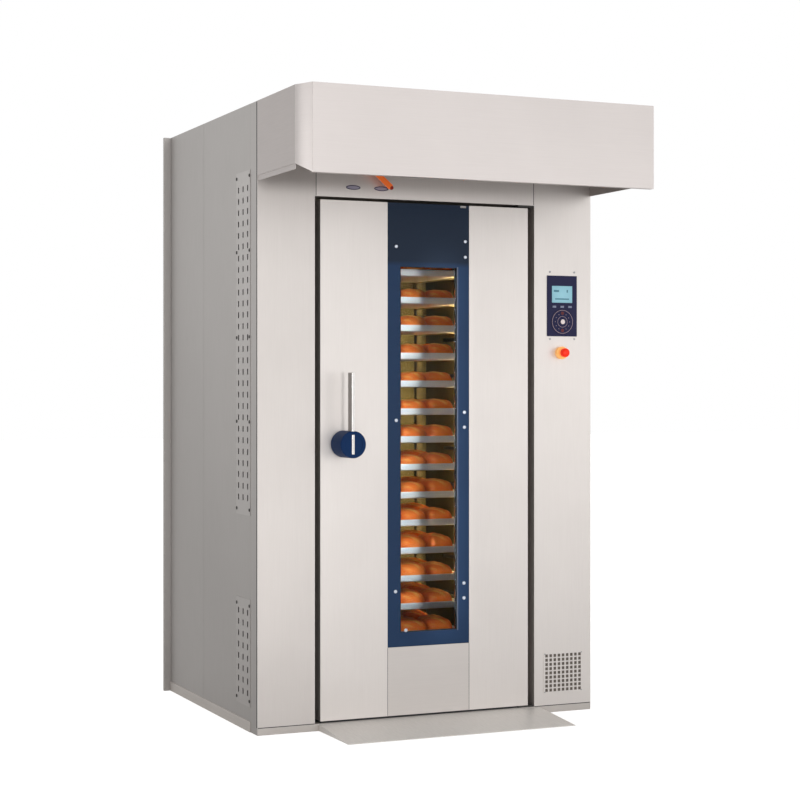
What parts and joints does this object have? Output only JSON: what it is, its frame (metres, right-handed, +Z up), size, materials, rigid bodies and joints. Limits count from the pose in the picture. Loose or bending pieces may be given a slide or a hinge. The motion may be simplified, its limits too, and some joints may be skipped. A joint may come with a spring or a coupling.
{
  "type": "rotating rack oven",
  "caption": "Bakery oven with a glazed swinging door, vapour hood and ramp; a tray rack hangs from a hoisted, motor-driven spindle and turns in circulated hot air",
  "frame": {"origin": "on the floor, under the middle of the oven's overall width and depth, hood and rear posts included", "axes": "+X to the right seen from the door side, +Y to the back, +Z up; the door faces -Y"},
  "size_m": [1.5, 1.64, 2.512],
  "materials": {
    "stainless_front": "brushed stainless steel, satin",
    "stainless_side": "brushed stainless steel, darker on the sides",
    "galvanised": "galvanised sheet, matt",
    "dark_frame": "welded steel frame, dark paint",
    "ramp_steel": "folded stainless ramp, scuffed",
    "insulation": "pressed mineral wool board",
    "blue_enamel": "dark blue gloss paint",
    "panes": "clear toughened glass",
    "black_rubber": "black silicone seal",
    "machined_steel": "machined steel",
    "motor_paint": "blue-grey motor paint",
    "gear_steel": "oiled cast iron",
    "element_steel": "heat-darkened element sheath",
    "box_paint": "light grey powder coat",
    "panel_plastic": "dark blue membrane panel",
    "key_plastic": "pale key caps",
    "orange_plastic": "orange plastic",
    "red_plastic": "red mushroom head",
    "lever_steel": "orange painted lever",
    "rack_steel": "stainless rack steel",
    "tray_aluminium": "pressed aluminium tray",
    "castor_wheel": "heat-resistant dark wheel"
  },
  "bodies": {
    "cabinet": {"base_frame": "dark_frame", "chamber_floor": "insulation", "entry_ramp": "ramp_steel", "side_panels": "stainless_side", "side_vent_plates": "stainless_side", "rear_panel": "stainless_side", "roof_deck": "galvanised", "left_column": "stainless_front", "right_column": "stainless_front", "header_panel": "stainless_front", "hood_fascia": "stainless_front", "hood_canopy": "stainless_front", "seal_frame": "galvanised", "chamber_walls": "galvanised", "wall_cassettes": "insulation", "roof_cassette": "insulation", "steam_cascade": "gear_steel", "heating_elements": "element_steel", "fan_motor": "motor_paint", "flue_pipe": "galvanised", "rack_gearmotor": "motor_paint", "hoist_frame": "machined_steel", "electrical_box": "box_paint", "control_panel": "panel_plastic", "stop_collar": "orange_plastic", "vent_grille": "galvanised", "door_pivots": "machined_steel"},
    "door": {"door_skins": "stainless_front", "window_frame": "blue_enamel", "window_panes": "panes", "door_inner_pan": "galvanised", "door_insulation": "insulation", "door_seal": "black_rubber", "hinge_blocks": "machined_steel", "latch_case": "machined_steel"},
    "handle": {"handle_boss": "blue_enamel", "handle_lever": "machined_steel", "latch_spindle": "machined_steel"},
    "latch": {"latch_bolt": "machined_steel"},
    "key_1": {"control_key_1": "key_plastic"},
    "key_2": {"control_key_2": "key_plastic"},
    "key_3": {"control_key_3": "key_plastic"},
    "dial": {"control_dial": "panel_plastic"},
    "stop": {"stop_button": "red_plastic"},
    "damper": {"damper_lever_arm": "lever_steel", "damper_flap": "machined_steel"},
    "fan": {"circulation_fan": "machined_steel"},
    "hoist": {"hoist_crosshead": "machined_steel"},
    "rack": {"rack_spindle": "machined_steel", "spindle_gear": "gear_steel", "rack_frame": "rack_steel", "tray_runners": "rack_steel", "baking_trays": "tray_aluminium"},
    "pinion": {"drive_pinion": "gear_steel"},
    "fork_left": {"castor_fork_left": "machined_steel"},
    "fork_right": {"castor_fork_right": "machined_steel"},
    "wheel_front_left": {"castor_wheel_front_left": "castor_wheel"},
    "wheel_front_right": {"castor_wheel_front_right": "castor_wheel"},
    "wheel_rear_left": {"castor_wheel_rear_left": "castor_wheel"},
    "wheel_rear_right": {"castor_wheel_rear_right": "castor_wheel"}
  },
  "joints": [
    {"name": "door_hinge", "type": "hinge", "parent": "cabinet", "child": "door", "pos_m": [0.413, -0.305, 0.036], "axis": [0, 0, 1], "range_deg": [0, 115]},
    {"name": "handle_turn", "type": "hinge", "parent": "door", "child": "handle", "pos_m": [-0.37, -0.33, 1.099], "axis": [0, 1, 0], "range_deg": [0, 90]},
    {"name": "latch_slide", "type": "slide", "parent": "door", "child": "latch", "axis": [-1, 0, 0], "range_m": [0, 0.038]},
    {"name": "key_1_press", "type": "slide", "parent": "cabinet", "child": "key_1", "axis": [0, 1, 0], "range_m": [0, 0.001], "stiffness_N_per_m": 400, "springref_m": -0.001},
    {"name": "key_2_press", "type": "slide", "parent": "cabinet", "child": "key_2", "axis": [0, 1, 0], "range_m": [0, 0.001], "stiffness_N_per_m": 400, "springref_m": -0.001},
    {"name": "key_3_press", "type": "slide", "parent": "cabinet", "child": "key_3", "axis": [0, 1, 0], "range_m": [0, 0.001], "stiffness_N_per_m": 400, "springref_m": -0.001},
    {"name": "dial_turn", "type": "hinge", "parent": "cabinet", "child": "dial", "pos_m": [0.5865, -0.33, 1.583], "axis": [0, 1, 0], "continuous": true},
    {"name": "stop_press", "type": "slide", "parent": "cabinet", "child": "stop", "axis": [0, 1, 0], "range_m": [0, 0.006]},
    {"name": "damper_turn", "type": "hinge", "parent": "cabinet", "child": "damper", "pos_m": [-0.28, -0.33, 2.174], "axis": [0, 1, 0], "range_deg": [-80, 8]},
    {"name": "fan_spin", "type": "hinge", "parent": "cabinet", "child": "fan", "pos_m": [-0.2885, 0.52, 2.03], "axis": [0, 0, 1], "continuous": true},
    {"name": "hoist_lift", "type": "slide", "parent": "cabinet", "child": "hoist", "axis": [0, 0, 1], "range_m": [-0.012, 0]},
    {"name": "rack_turn", "type": "hinge", "parent": "hoist", "child": "rack", "pos_m": [-0.0135, 0.255, 2], "axis": [0, 0, 1], "continuous": true},
    {"name": "pinion_turn", "type": "hinge", "parent": "cabinet", "child": "pinion", "pos_m": [-0.0135, 0.1425, 2.3], "axis": [0, 0, 1], "continuous": true},
    {"name": "castor_swivel_left", "type": "hinge", "parent": "rack", "child": "fork_left", "pos_m": [-0.2985, 0.06, 0.16], "axis": [0, 0, 1], "continuous": true},
    {"name": "castor_swivel_right", "type": "hinge", "parent": "rack", "child": "fork_right", "pos_m": [0.2715, 0.06, 0.16], "axis": [0, 0, 1], "continuous": true},
    {"name": "wheel_spin_front_left", "type": "hinge", "parent": "fork_left", "child": "wheel_front_left", "pos_m": [-0.2985, 0.085, 0.0903], "axis": [1, 0, 0], "continuous": true},
    {"name": "wheel_spin_front_right", "type": "hinge", "parent": "fork_right", "child": "wheel_front_right", "pos_m": [0.2715, 0.085, 0.0903], "axis": [1, 0, 0], "continuous": true},
    {"name": "wheel_spin_rear_left", "type": "hinge", "parent": "rack", "child": "wheel_rear_left", "pos_m": [-0.2985, 0.45, 0.0903], "axis": [1, 0, 0], "continuous": true},
    {"name": "wheel_spin_rear_right", "type": "hinge", "parent": "rack", "child": "wheel_rear_right", "pos_m": [0.2715, 0.45, 0.0903], "axis": [1, 0, 0], "continuous": true}
  ],
  "couplings": [
    {"joint": "latch_slide", "follows": "handle_turn", "m_per_rad": 0.024},
    {"joint": "pinion_turn", "follows": "rack_turn", "ratio": -4}
  ]
}
